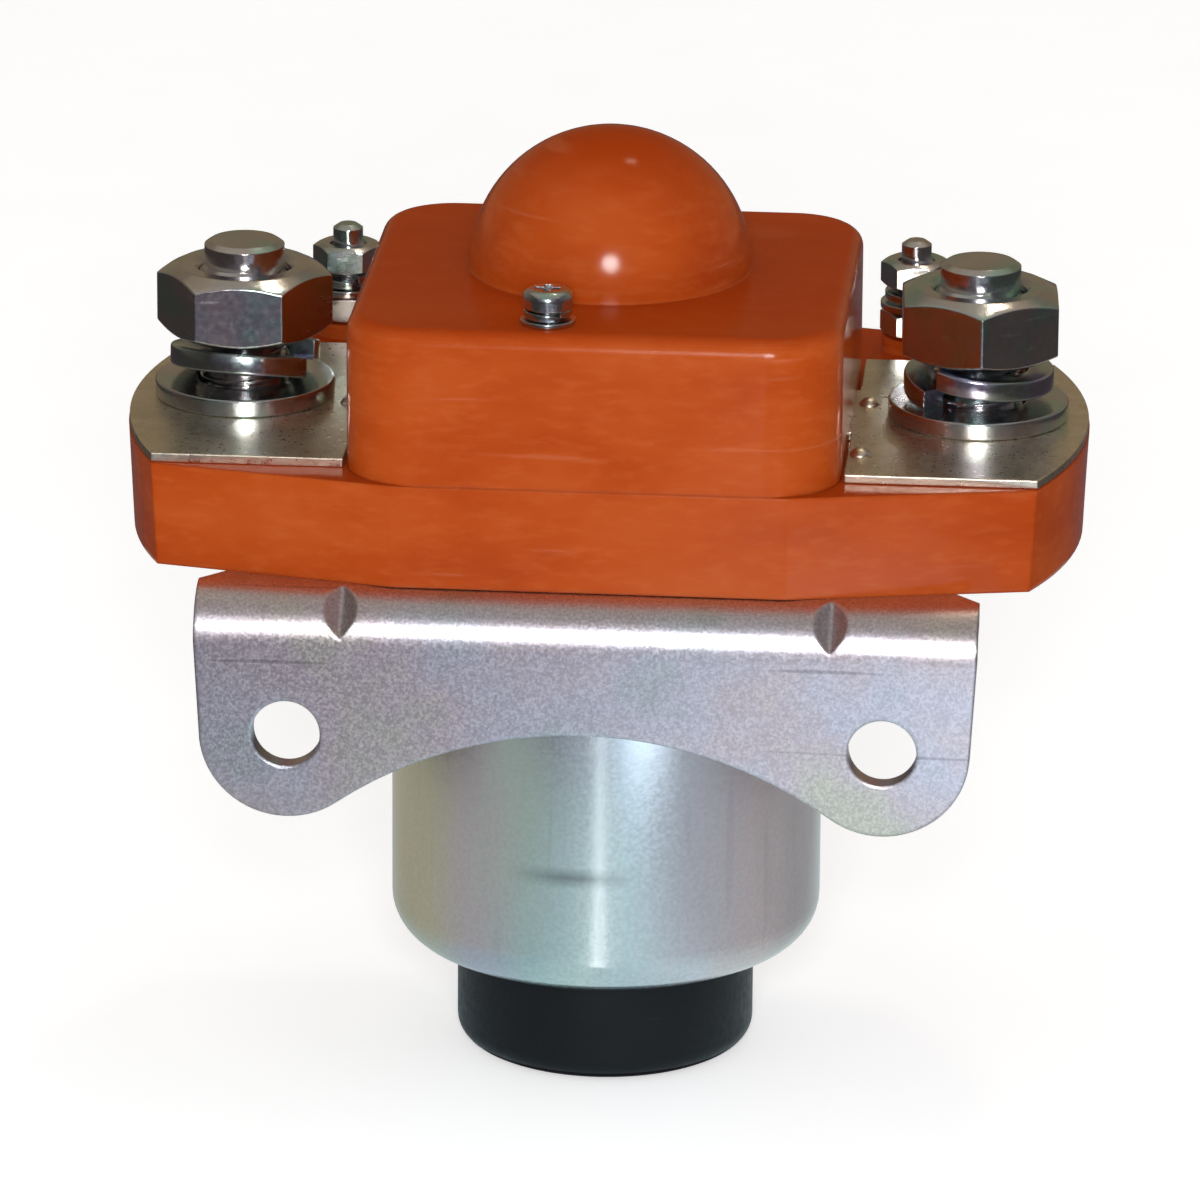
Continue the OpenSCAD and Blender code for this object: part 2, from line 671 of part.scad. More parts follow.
module coil_stud() stud(coil_d, coil_end_d, coil_nut_af, coil_nut_h, z_coil_head,
  z_coil_upper + coil_nut_h, z_coil_tip);
module coil_stud_left() color("#c4c7cc") translate([-coil_x, coil_y, 0]) coil_stud();
module coil_stud_right() color("#c4c7cc") translate([coil_x, coil_y, 0]) coil_stud();

module coil_lower_nuts() color("#cfd2d6") both(coil_x, coil_y, z_coil_lower)
  nut(coil_nut_af, coil_nut_h, coil_d);

module coil_flat_washers() color("#d8dadd") both(coil_x, coil_y, z_coil_washer)
  ring(coil_washer_d / 2, coil_d / 2 + thread_gap, coil_washer_t);

module coil_spring_washers() color("#b5b8bd") both(coil_x, coil_y, z_coil_split)
  split_washer(coil_split_d, (coil_split_d - coil_d) / 2 - thread_gap, coil_split_t,
    coil_split_h - coil_split_t, -70);

module coil_upper_nuts() color("#cfd2d6") both(coil_x, coil_y, z_coil_upper)
  nut(coil_nut_af, coil_nut_h, coil_d);

// Arch between the lobes: its circle touches both lobe circles
arch_drop = (pow(hole_spacing / 2, 2) - pow(arch_rise + lobe_r, 2)) / (2 * (arch_rise + lobe_r));
arch_r = arch_drop + arch_rise;
arch_angle = atan2(arch_drop, hole_spacing / 2);
z_hole = z_base - hole_drop;

// Outline of the bracket's front: sides, two lobes and the arch between them
module bracket_outline() {
  steps = 24;
  hx = hole_spacing / 2;
  arch = arc(0, z_hole - arch_drop, arch_r, 180 - arch_angle, arch_angle, steps);
  polygon(concat(
    [[-bracket_w / 2, z_base - bend_r]],
    arc(-hx, z_hole, lobe_r, 180, 360 - arch_angle, steps),
    [for (i = [1:steps - 1]) arch[i]],
    arc(hx, z_hole, lobe_r, 180 + arch_angle, 360, steps),
    [[bracket_w / 2, z_base - bend_r]]
  ));
}

// Prism across the bend with a V section whose tip lies depth below the gusset's chord
module dart_prism(depth) {
  reach = depth + dart_leg;
  spread = reach * tan(dart_angle);
  translate([0, dart_leg / 2 - bracket_front, z_base - dart_leg / 2]) rotate([-45, 0, 0])
    linear_extrude(4 * dart_leg, center = true)
      polygon([[0, depth], [-spread, depth - reach], [spread, depth - reach]]);
}

dart_rib = bracket_t / sin(dart_angle);

// The pressed gusset's ridge on the inside of the bend
module dart_ridge() {
  mid = bend_r - bracket_t / 2;
  reach = dart_leg + dart_rib;
  intersection() {
    dart_prism(dart_rib);
    translate([-reach * 2, bend_r - bracket_front, z_base - bend_r]) rotate([90, 0, 90])
      linear_extrude(4 * reach)
        polygon(concat([[-mid, -reach]], arc(0, 0, mid, 180, 90, 8), [[reach, mid], [reach, -reach]]));
  }
}

// Flange under the base: wide at the bend, a narrower neck clear of the stud heads
module flange_plan() {
  wide = bracket_w / 2;
  neck = neck_w / 2;
  bend = bend_r - bracket_front;
  shoulder = main_y - main_head_af / 2 - head_clear;
  polygon([
    [-wide, bend], [wide, bend], [neck, shoulder], [neck, bracket_rear],
    [-neck, bracket_rear], [-neck, shoulder]
  ]);
}

module mounting_bracket() color("#b9bcc4") difference() {
  union() {
    translate([0, bracket_t - bracket_front, 0]) rotate([90, 0, 0])
      linear_extrude(bracket_t) bracket_outline();
    translate([-bracket_w / 2, bend_r - bracket_front, z_base - bend_r]) rotate([90, 0, 90])
      linear_extrude(bracket_w) intersection() {
        difference() {
          circle(r = bend_r);
          circle(r = bend_r - bracket_t);
        }
        translate([-bend_r, 0]) square(bend_r);
      }
    translate([0, 0, z_flange]) linear_extrude(bracket_t) flange_plan();
    for (s = [-1, 1]) translate([s * dart_x, 0, 0]) dart_ridge();
  }
  for (s = [-1, 1]) translate([s * dart_x, 0, 0]) dart_prism(0);
  for (s = [-1, 1]) translate([s * hole_spacing / 2, cut - bracket_front + bracket_t, z_hole])
    rotate([90, 0, 0]) cylinder(d = hole_d, h = bracket_t + 2 * cut);
  translate([0, 0, z_flange - cut]) cylinder(r = sleeve_r + thread_gap, h = bracket_t + 2 * cut);
  at(frame_screws_at, z_flange - cut) cylinder(r = frame_screw_d / 2 + hole_gap, h = bracket_t + 2 * cut);
  lead_holes(z_flange, bracket_t);
}

// Holes through which both leads come up
module lead_holes(z, t) for (s = [0, 1]) mirror([s, 0, 0]) rotate(lead_angle)
  translate([lead_ring, 0, z - cut]) cylinder(r = lead_d / 2 + side_gap, h = t + 2 * cut);

module coil_can() color("#c3c6cc") difference() {
  translate([0, 0, z_can]) lathe(concat(
    [[core_end_d / 2 + thread_gap, 0]],
    arc(can_d / 2 - can_bottom_r, can_bottom_r, can_bottom_r, -90, 0, 10),
    [[can_d / 2, can_h - can_wall], [lip_r, can_h - can_wall], [lip_r, can_h], [can_bore_r, can_h]],
    arc(can_d / 2 - can_bottom_r, can_bottom_r, can_bottom_r - can_wall, 0, -90, 10),
    [[core_end_d / 2 + thread_gap, can_wall]]
  ));
  for (s = [0, 1]) mirror([0, s, 0]) translate([-lip_r - cut, lip_y, z_flange - can_wall - cut])
    cube([2 * lip_r + 2 * cut, lip_r, can_wall + 2 * cut]);
  at(frame_screws_at, z_flange - can_wall - cut)
    cylinder(r = frame_screw_d / 2 + hole_gap, h = can_wall + 2 * cut);
}

module bottom_cap() color("#23282e") {
  r = cap_d / 2;
  grip = core_end_d / 2 + thread_gap;
  lathe(concat(
    [[0, 0]], arc(r - cap_edge_r, cap_edge_r, cap_edge_r, -90, 0, 8),
    [[r, cap_h], [r - cap_wall, cap_h], [r - cap_wall, cap_edge_r], [grip + cap_wall, cap_edge_r],
     [grip + cap_wall, z_core_nut - side_gap], [grip, z_core_nut - side_gap], [grip, cap_edge_r],
     [0, cap_edge_r]]
  ));
}

module frame_screws() color("#b5b8bd") at(frame_screws_at, z_flange - can_wall - frame_head_h) {
  mirror([0, 0, 1]) translate([0, 0, -frame_head_h]) pan_head(frame_head_d, frame_head_h);
  translate([0, 0, frame_head_h])
    cylinder(d = frame_screw_d, h = can_wall + bracket_t + frame_screw_depth);
}

module yoke_plate() color("#8d9096") difference() {
  translate([0, 0, z_yoke]) ring(can_bore_r - hole_gap, sleeve_r + thread_gap, yoke_t);
  lead_holes(z_yoke, yoke_t);
}

module guide_sleeve() color("#c9a94f") translate([0, 0, z_floor])
  ring(sleeve_r, plunger_d / 2 + run_gap, z_base - z_floor);

z_core_nut = z_can - core_nut_h;
z_core_end = z_core_nut - core_end_rise;

module fixed_core() color("#9a9da3") {
  translate([0, 0, z_floor]) cylinder(d = plunger_d, h = core_h);
  translate([0, 0, z_core_end]) cylinder(d = core_end_d, h = z_floor - z_core_end);
}

module core_nut() color("#b5b8bd") translate([0, 0, z_core_nut])
  nut(core_nut_af, core_nut_h, core_end_d);

bobbin_r = sleeve_r + hole_gap;
bobbin_rim = can_bore_r - side_gap;
// The lower flange ends where the can's rounded bottom begins at its height
bottom_bend = can_bottom_r - can_wall;
bobbin_foot = bobbin_rim - bottom_bend + sqrt(pow(bottom_bend, 2) - pow(bottom_bend - side_gap, 2));

module coil_bobbin() color("#e8e4d8") difference() {
  translate([0, 0, z_floor + side_gap]) {
    h = z_bobbin_top - z_floor - side_gap;
    ring(bobbin_r + bobbin_wall, bobbin_r, h);
    ring(bobbin_foot, bobbin_r, bobbin_flange_t);
    translate([0, 0, h - bobbin_flange_t]) ring(bobbin_rim, bobbin_r, bobbin_flange_t);
  }
  lead_holes(z_bobbin_top - bobbin_flange_t, bobbin_flange_t);
}

z_winding = z_floor + side_gap + bobbin_flange_t + end_gap;
z_winding_top = z_bobbin_top - bobbin_flange_t - end_gap;

module coil_winding() color("#a5561f") translate([0, 0, z_winding])
  ring(winding_r, bobbin_r + bobbin_wall + end_gap, z_winding_top - z_winding);

// Lead from the winding up to the ring terminal on its stud
module coil_lead() {
  p = lead_ring * [cos(lead_angle), sin(lead_angle)];
  q = [coil_x, coil_y];
  z_join = z_winding_top - lead_drop;
  hub = coil_nut_af / sqrt(3) + side_gap;
  difference() {
    union() {
      translate([p[0], p[1], z_join]) {
        cylinder(d = lead_d, h = z_lead - z_join);
        sphere(d = lead_d);
        rotate(lead_angle) rotate([0, -90, 0]) cylinder(d = lead_d, h = lead_ring - winding_r - end_gap);
      }
      translate([p[0], p[1], z_lead]) rotate(atan2(q[1] - p[1], q[0] - p[0])) {
        sphere(d = lead_d);
        rotate([0, 90, 0]) cylinder(d = lead_d, h = norm(q - p) - hub);
        translate([0, -lead_d / 2, -ring_t / 2]) cube([norm(q - p), lead_d, ring_t]);
      }
      translate([q[0], q[1], z_ring]) cylinder(r = hub - side_gap, h = ring_t);
    }
    translate([q[0], q[1], z_ring - cut]) cylinder(r = coil_d / 2 + thread_gap, h = ring_t + 2 * cut);
  }
}

module coil_lead_left() color("#7a2020") mirror([1, 0, 0]) coil_lead();
module coil_lead_right() color("#7a2020") coil_lead();

bush_r = shaft_r + run_gap + flange_t * 2;

module shaft_bush() color("#c9a94f") difference() {
  union() {
    translate([0, 0, z_base + side_gap]) cylinder(r = bush_r, h = well_floor - side_gap);
    translate([0, 0, z_well]) cylinder(d = flange_d, h = flange_t);
  }
  translate([0, 0, z_base - cut]) cylinder(r = shaft_r + run_gap, h = base_h);
}

module fixed_contact_tips() color("#dcdcd8") both(tip_x, main_y, z_fixed_tip)
  cylinder(d = tip_d, h = tip_t);

module plunger() color("#a2a5ab") difference() {
  translate([0, 0, z_plunger]) cylinder(d = plunger_d, h = z_plunger_top - z_plunger);
  translate([0, 0, z_plunger_top - shaft_seat]) cylinder(r = shaft_r, h = shaft_seat + cut);
}

module plunger_shaft() color("#d0d3d8") {
  z = z_plunger_top - shaft_seat;
  translate([0, 0, z]) cylinder(r = shaft_r, h = z_shaft_top - tip_chamfer - z);
  translate([0, 0, z_shaft_top - tip_chamfer])
    cylinder(r1 = shaft_r, r2 = shaft_r - tip_chamfer, h = tip_chamfer);
}

module spring_collar() color("#b5b8bd") translate([0, 0, z_collar])
  ring(flange_d / 2, shaft_r, flange_t);

module return_spring() color("#d8dadd") translate([0, 0, z_return + end_gap])
  spring(return_d, return_turns, z_collar - z_return - 2 * end_gap);

module contact_bridge() color("#b87333") difference() {
  translate([-bridge_l / 2, main_y - bridge_w / 2, z_bridge]) cube([bridge_l, bridge_w, bridge_t]);
  translate([0, 0, z_bridge - cut]) cylinder(r = neck_d / 2 + thread_gap, h = bridge_t + 2 * cut);
}

module bridge_contact_tips() color("#dcdcd8") both(tip_x, main_y, z_moving_tip)
  cylinder(d = tip_d, h = tip_t);

module bridge_bush() color("#e8e4d8") difference() {
  union() {
    translate([0, 0, z_bush]) cylinder(d = flange_d, h = flange_t);
    translate([0, 0, z_bush]) cylinder(d = neck_d, h = flange_t + bridge_t);
  }
  translate([0, 0, z_bush - cut]) cylinder(r = shaft_r + run_gap, h = flange_t + bridge_t + 2 * cut);
}

module bridge_washer() color("#e8e4d8") translate([0, 0, z_washer])
  ring(flange_d / 2, shaft_r + run_gap, flange_t);

module contact_spring() color("#d8dadd") translate([0, 0, z_press + end_gap])
  spring(press_d, press_turns, press_l - 2 * end_gap);

module spring_seat() color("#b5b8bd") translate([0, 0, z_seat]) ring(flange_d / 2, shaft_r, flange_t);

module shaft_nut() color("#cfd2d6") translate([0, 0, z_shaft_nut]) nut(coil_nut_af, coil_nut_h, shaft_d);

terminal_base();
contact_cover();
cover_screws();
cover_spring_washers();
cover_flat_washers();
terminal_plate_left();
terminal_plate_right();
plate_rivets();
main_stud_left();
main_stud_right();
main_flat_washers();
main_spring_washers();
main_nuts();
coil_stud_left();
coil_stud_right();
coil_lower_nuts();
coil_flat_washers();
coil_spring_washers();
coil_upper_nuts();
mounting_bracket();
coil_can();
bottom_cap();
frame_screws();
yoke_plate();
guide_sleeve();
fixed_core();
core_nut();
coil_bobbin();
coil_winding();
coil_lead_left();
coil_lead_right();
shaft_bush();
fixed_contact_tips();
plunger();
plunger_shaft();
spring_collar();
return_spring();
contact_bridge();
bridge_contact_tips();
bridge_bush();
bridge_washer();
contact_spring();
spring_seat();
shaft_nut();
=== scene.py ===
"""Looks of a golf cart solenoid: camera, studio, finishes and fine metalwork around the CAD frame."""

import json
import math

import bmesh
import bpy
from mathutils import Matrix, Vector


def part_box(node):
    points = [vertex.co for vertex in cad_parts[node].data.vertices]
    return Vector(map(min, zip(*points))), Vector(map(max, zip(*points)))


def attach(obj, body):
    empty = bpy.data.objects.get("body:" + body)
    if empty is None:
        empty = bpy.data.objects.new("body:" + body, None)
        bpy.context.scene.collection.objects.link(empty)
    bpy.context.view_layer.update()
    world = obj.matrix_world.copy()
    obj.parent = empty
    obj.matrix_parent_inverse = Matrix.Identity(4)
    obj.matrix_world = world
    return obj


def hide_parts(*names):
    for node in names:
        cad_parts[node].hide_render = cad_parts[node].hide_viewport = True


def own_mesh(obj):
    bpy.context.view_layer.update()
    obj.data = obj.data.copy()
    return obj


MM = 0.001

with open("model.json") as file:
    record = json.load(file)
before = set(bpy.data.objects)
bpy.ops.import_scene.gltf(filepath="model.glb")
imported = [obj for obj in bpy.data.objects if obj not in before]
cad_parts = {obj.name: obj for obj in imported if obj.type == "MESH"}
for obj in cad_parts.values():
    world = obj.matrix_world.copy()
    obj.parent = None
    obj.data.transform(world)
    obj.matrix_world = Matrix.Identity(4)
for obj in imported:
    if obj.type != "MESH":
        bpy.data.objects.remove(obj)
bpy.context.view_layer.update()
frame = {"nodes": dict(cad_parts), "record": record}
NODES = frame["nodes"]

# Camera of the photograph
IMAGE = 1200
SENSOR = 36.0
FOCAL_PX = 8973.6
AZIMUTH, ELEVATION, ROLL = (math.radians(a) for a in (4.688, 18.4, 0.396))
TARGET = Vector((0, 0, 57)) * MM
TARGET_PX = (608.4, 552.15)
DISTANCE = 1.0
NEAREST, FARTHEST = 0.05, 50


def add_camera():
    """Puts the camera where the photograph was taken from, with the target at its own pixel."""
    right = Vector((math.cos(AZIMUTH), math.sin(AZIMUTH), 0))
    up = Vector((
        -math.sin(AZIMUTH) * math.sin(ELEVATION),
        math.cos(AZIMUTH) * math.sin(ELEVATION),
        math.cos(ELEVATION),
    ))
    ahead = up.cross(right)
    right, up = (
        math.cos(ROLL) * right + math.sin(ROLL) * up,
        math.cos(ROLL) * up - math.sin(ROLL) * right,
    )
    across = (TARGET_PX[0] - IMAGE / 2) / FOCAL_PX * DISTANCE
    down = (TARGET_PX[1] - IMAGE / 2) / FOCAL_PX * DISTANCE
    place = TARGET - ahead * DISTANCE - right * across + up * down
    camera = bpy.data.cameras.new("camera")
    camera.sensor_width = SENSOR
    camera.lens = SENSOR * FOCAL_PX / IMAGE
    camera.clip_start, camera.clip_end = NEAREST, FARTHEST
    holder = bpy.data.objects.new("camera", camera)
    turn = Matrix((right, up, -ahead)).transposed().to_4x4()
    holder.matrix_world = Matrix.Translation(place) @ turn
    bpy.context.scene.collection.objects.link(holder)
    bpy.context.scene.camera = holder


add_camera()
bpy.context.scene.view_settings.view_transform = "Standard"

# Rays that find how an edge rounds off in a material
EDGE_SAMPLES = 6


class Surface:
    """A material with one Principled shader, and short ways to add and join nodes."""

    def __init__(self, name, colour=(0.5, 0.5, 0.5), **sockets):
        self.material = bpy.data.materials.new(name)
        self.material.use_nodes = True
        self.tree = self.material.node_tree
        self.shader = self.tree.nodes["Principled BSDF"]
        self.shader.inputs["Base Color"].default_value = (*colour, 1)
        for key, value in sockets.items():
            socket = self.shader.inputs[key.replace("_", " ").title().replace("Ior", "IOR")]
            socket.default_value = value
        self.place = self.node("ShaderNodeTexCoord").outputs["Object"]

    def node(self, kind, **settings):
        made = self.tree.nodes.new(kind)
        for key, value in settings.items():
            setattr(made, key, value)
        return made

    def join(self, source, target):
        self.tree.links.new(source, target)

    def noise(self, size, detail=4.0, rough=0.55, stretch=(1, 1, 1)):
        """Noise with grains of about that size in metres."""
        mapped = self.node("ShaderNodeMapping")
        mapped.inputs["Scale"].default_value = stretch
        self.join(self.place, mapped.inputs["Vector"])
        made = self.node("ShaderNodeTexNoise")
        made.inputs["Scale"].default_value = 1 / size
        made.inputs["Detail"].default_value = detail
        made.inputs["Roughness"].default_value = rough
        self.join(mapped.outputs["Vector"], made.inputs["Vector"])
        return made.outputs["Fac"]

    def ramp(self, source, *stops):
        """Colours along a value: each stop is a place and a colour or grey."""
        made = self.node("ShaderNodeValToRGB")
        elements = made.color_ramp.elements
        while len(elements) < len(stops):
            elements.new(0.5)
        for element, (place, colour) in zip(elements, stops):
            element.position = place
            shown = colour if hasattr(colour, "__len__") else (colour, colour, colour)
            element.color = (*shown, 1)
        self.join(source, made.inputs["Fac"])
        return made.outputs["Color"]

    def span(self, source, low, high, to_low=0.0, to_high=1.0):
        """A value between low and high, moved to another pair of limits and held inside them."""
        made = self.node("ShaderNodeMapRange")
        for key, value in zip(("From Min", "From Max", "To Min", "To Max"), (low, high, to_low, to_high)):
            made.inputs[key].default_value = value
        self.join(source, made.inputs["Value"])
        return made.outputs["Result"]

    def mix(self, factor, first, second):
        """From the first colour to the second; each is a socket or a colour."""
        made = self.node("ShaderNodeMix", data_type="RGBA")
        for key, value in ((0, factor), (6, first), (7, second)):
            if hasattr(value, "is_linked"):
                self.join(value, made.inputs[key])
            else:
                made.inputs[key].default_value = value if key == 0 else (*value, 1)
        return made.outputs[2]

    def axis(self, name, at=None):
        """One coordinate of a point or direction, by default of the place on the object."""
        made = self.node("ShaderNodeSeparateXYZ")
        self.join(at or self.place, made.inputs["Vector"])
        return made.outputs[name]

    def math(self, operation, first, second=None):
        made = self.node("ShaderNodeMath", operation=operation)
        for socket, value in zip(made.inputs, (first, second)):
            if hasattr(value, "is_linked"):
                self.join(value, socket)
            elif value is not None:
                socket.default_value = value
        return made.outputs["Value"]

    def bump(self, height, depth, strength=1.0, edge=None):
        """Raises the surface by a height; edges sharper than the edge radius read as rounded."""
        made = self.node("ShaderNodeBump")
        if edge:
            rounded = self.node("ShaderNodeBevel", samples=EDGE_SAMPLES)
            rounded.inputs["Radius"].default_value = edge
            self.join(rounded.outputs["Normal"], made.inputs["Normal"])
        made.inputs["Distance"].default_value = depth
        made.inputs["Strength"].default_value = strength
        self.join(height, made.inputs["Height"])
        self.join(made.outputs["Normal"], self.shader.inputs["Normal"])

    def colour(self, source):
        self.join(source, self.shader.inputs["Base Color"])

    def rough(self, source):
        self.join(source, self.shader.inputs["Roughness"])


def linear(*srgb):
    """A colour as the eye reads it, 0 to 255, turned into the shader's linear values."""
    return tuple((c / 255 / 12.92) if c <= 10 else ((c / 255 + 0.055) / 1.055) ** 2.4 for c in srgb)


def scratches(made, size, stretch, low=0.68, high=0.76):
    """Thin marks, longest where the stretch is least."""
    return made.span(made.noise(size, detail=1, rough=0.3, stretch=stretch), low, high)


PHENOLIC_TINTS = (
    (0.3, linear(160, 60, 16)),
    (0.52, linear(174, 72, 22)),
    (0.75, linear(182, 84, 34)),
)
# Upward share of a normal at which a face of the moulding begins and ends to turn level, and to take
# painted shade
SLOPED, LEVEL = 0.45, 0.95


def phenolic(name):
    """Orange-brown moulding compound: cloudy, with pale fibres; level faces get a deeper colour as painted
    shade, and a duller reflection.
    """
    made = Surface(name, roughness=0.2, ior=1.28)
    clouds = made.noise(14 * MM, detail=6, stretch=(0.6, 1, 1.5))
    fibres = made.noise(1.6 * MM, detail=3, stretch=(0.5, 0.5, 1.6))
    base = made.ramp(clouds, *PHENOLIC_TINTS)
    mottled_and_shaded = made.mix(made.span(fibres, 0.5, 0.8, 0.0, 0.2), base, linear(206, 116, 66))
    upward = made.axis("Z", made.node("ShaderNodeNewGeometry").outputs["Normal"])
    # Painted shade: faces that turn level take a deeper, darker orange, and they also reflect less
    mottled_and_shaded = made.mix(made.span(upward, SLOPED, LEVEL, 0.0, 0.7), mottled_and_shaded, linear(160, 54, 10))
    made.join(made.span(upward, SLOPED, LEVEL, 0.5, 0.04), made.shader.inputs["Specular IOR Level"])
    marks = scratches(made, 2.2 * MM, (0.12, 0.12, 1.4), 0.7, 0.78)
    made.colour(made.mix(made.math("MULTIPLY", marks, 0.1), mottled_and_shaded, linear(214, 136, 94)))
    gloss = made.span(clouds, 0.3, 0.7, 0.11, 0.18)
    made.rough(made.math("ADD", gloss, made.math("MULTIPLY", marks, 0.2)))
    made.bump(made.noise(7 * MM, detail=3), 0.12 * MM, 0.3, edge=0.6 * MM)
    return made.material


ZINC_TINTS = (
    (0.28, linear(204, 220, 222)),
    (0.42, linear(226, 226, 238)),
    (0.56, linear(230, 220, 226)),
    (0.7, linear(226, 226, 212)),
)


def zinc_sheet(name):
    """Zinc plate on pressed sheet: speckled, with faint rainbow tints and drawn scratches."""
    made = Surface(name, metallic=1.0, roughness=0.36)
    base = made.ramp(made.noise(18 * MM, detail=3), *ZINC_TINTS)
    specks = made.noise(0.32 * MM, detail=3, rough=0.7)
    speckled = made.mix(made.span(specks, 0.4, 0.64, 0.36, 0.0), base, linear(120, 112, 126))
    marks = scratches(made, 1.6 * MM, (0.05, 1, 1.5), 0.72, 0.76)
    made.colour(made.mix(made.math("MULTIPLY", marks, 0.35), speckled, linear(90, 86, 96)))
    made.rough(made.span(specks, 0.3, 0.7, 0.29, 0.4))
    made.bump(specks, 0.04 * MM, 0.4, edge=0.6 * MM)
    return made.material


# Colours across the can from left to right: partly the plating's rainbow film, partly painted reflection
# of the room, with a paler painted sheen near the front middle
CAN_FILM_AND_REFLECTION = (
    (0.0, linear(196, 188, 160)),
    (0.14, linear(208, 206, 186)),
    (0.24, linear(208, 204, 214)),
    (0.34, linear(200, 220, 218)),
    (0.48, linear(220, 232, 230)),
    (0.6, linear(208, 220, 228)),
    (0.74, linear(214, 212, 222)),
    (0.88, linear(216, 202, 202)),
    (1.0, linear(180, 170, 170)),
)


CAN_RADIUS = 24.1 * MM
# Dark smudge low on the can's front: its middle, half the width of its core, then where it ends
SMUDGE_X, SMUDGE_Z = -1.9 * MM, 27 * MM
SMUDGE_CORE, SMUDGE_REACH, SMUDGE_RISE = 1 * MM, 7.2 * MM, 1.3 * MM
SMUDGE_SHADE = 0.55
# Depths between which the can's front begins
FRONT_FROM, FRONT_TO = -10 * MM, -14 * MM


def smudge(made):
    """How strong the can's smudge is at a place."""
    beside = made.math("ABSOLUTE", made.math("SUBTRACT", made.axis("X"), SMUDGE_X))
    above = made.math("ABSOLUTE", made.math("SUBTRACT", made.axis("Z"), SMUDGE_Z))
    across = made.span(beside, SMUDGE_CORE, SMUDGE_REACH, 1.0, 0.0)
    upright = made.span(above, 0.0, SMUDGE_RISE, 1.0, 0.0)
    front = made.span(made.axis("Y"), FRONT_FROM, FRONT_TO, 0.0, SMUDGE_SHADE)
    return made.math("MULTIPLY", made.math("MULTIPLY", across, upright), front)


def zinc_can(name):
    """Zinc plate on the drawn can: smoother, with upright bands across its front that are partly the
    plating's rainbow film and partly painted reflection.
    """
    made = Surface(name, metallic=1.0, roughness=0.2)
    wobble = made.noise(12 * MM, detail=4, stretch=(1, 1, 0.45))
    across = made.span(made.axis("X"), -CAN_RADIUS, CAN_RADIUS, -0.08, 0.92)
    around = made.math("ADD", across, made.span(wobble, 0, 1, 0.0, 0.16))
    # Upright bands across the can's width: the film's tints together with painted reflection
    base = made.ramp(around, *CAN_FILM_AND_REFLECTION)
    specks = made.noise(0.5 * MM, detail=3, rough=0.65)
    speckled = made.mix(made.span(specks, 0.4, 0.6, 0.12, 0.0), base, linear(120, 112, 118))
    drawn = scratches(made, 2.5 * MM, (1.6, 1.6, 0.12), 0.66, 0.74)
    worn = made.mix(made.math("MULTIPLY", drawn, 0.08), speckled, linear(120, 112, 108))
    made.colour(made.mix(smudge(made), worn, linear(74, 74, 76)))
    made.rough(made.span(specks, 0.3, 0.7, 0.17, 0.24))
    made.bump(made.noise(1.6 * MM, detail=4, rough=0.6), 0.04 * MM, 0.3, edge=0.4 * MM)
    return made.material


METAL_GRAIN = 0.6 * MM


def metal(name, colour, roughness, tint=None, wear=1.0, relief=0.3):
    """Bright or machined metal, clouded, with fine marks; its tint is two colours of thin film."""
    made = Surface(name, metallic=1.0, roughness=roughness)
    dark = tuple(0.8 * c for c in colour)
    base = made.ramp(made.noise(3 * MM, detail=4), (0.3, dark), (0.7, colour))
    if tint:
        film = made.noise(6 * MM, detail=2)
        hues = made.ramp(film, (0.4, tint[0]), (0.6, tint[1]))
        base = made.mix(made.span(film, 0.4, 0.62), base, hues)
    marks = made.math("MULTIPLY", scratches(made, 1.2 * MM, (0.25, 0.25, 1.4)), wear)
    made.colour(made.mix(made.math("MULTIPLY", marks, 0.3), base, dark))
    fine = made.noise(METAL_GRAIN, detail=2)
    even = made.span(fine, 0.3, 0.7, roughness * 0.8, roughness * 1.25)
    made.rough(made.math("ADD", even, made.math("MULTIPLY", marks, 0.1)))
    made.bump(fine, METAL_GRAIN * 0.015, relief, edge=0.15 * MM)
    return made.material


def moulded(name, colour, roughness, ior=1.45):
    """Plain moulded plastic with a fine grain."""
    made = Surface(name, roughness=roughness, ior=ior)
    dark, light = (tuple(c * shade for c in colour) for shade in (0.85, 1.15))
    base = made.ramp(made.noise(8 * MM, detail=4), (0.3, dark), (0.7, light))
    marks = scratches(made, 1.6 * MM, (0.2, 0.2, 1.4), 0.7, 0.8)
    pale = tuple(min(1, c + 0.12) for c in colour)
    made.colour(made.mix(made.math("MULTIPLY", marks, 0.12), base, pale))
    fine = made.noise(0.8 * MM, detail=2)
    made.rough(made.span(fine, 0.3, 0.7, roughness - 0.06, roughness + 0.06))
    made.bump(fine, 0.04 * MM, 0.5)
    return made.material


# Thin films on the zinc of nuts, studs and washers
VIOLET, TEAL = linear(188, 182, 208), linear(178, 206, 202)
FINISHES = {
    "phenolic_base": phenolic("phenolic_base"),
    "phenolic_cover": phenolic("phenolic_cover"),
    "zinc_bracket": zinc_sheet("zinc_bracket"),
    "zinc_can": zinc_can("zinc_can"),
    "hardware": metal("hardware", linear(218, 214, 214), 0.2, tint=(VIOLET, TEAL)),
    "spring_washer": metal("spring_washer", linear(190, 206, 204), 0.2, tint=(TEAL, VIOLET)),
    "tinned_copper": metal("tinned_copper", linear(238, 228, 208), 0.32, wear=0.0, relief=0.0),
    "black_cap": moulded("black_cap", linear(14, 17, 22), 0.44, ior=1.3),
    "magnet_steel": metal("magnet_steel", linear(168, 166, 164), 0.35),
    "brass": metal("brass", linear(205, 170, 95), 0.25),
    "nylon": moulded("nylon", linear(222, 216, 200), 0.42),
    "winding": metal("winding", linear(178, 92, 52), 0.3),
    "lead": moulded("lead", linear(150, 30, 26), 0.45),
    "copper": metal("copper", linear(196, 120, 84), 0.25),
    "silver": metal("silver", linear(224, 222, 216), 0.25),
    "spring_wire": metal("spring_wire", linear(170, 172, 174), 0.25),
}


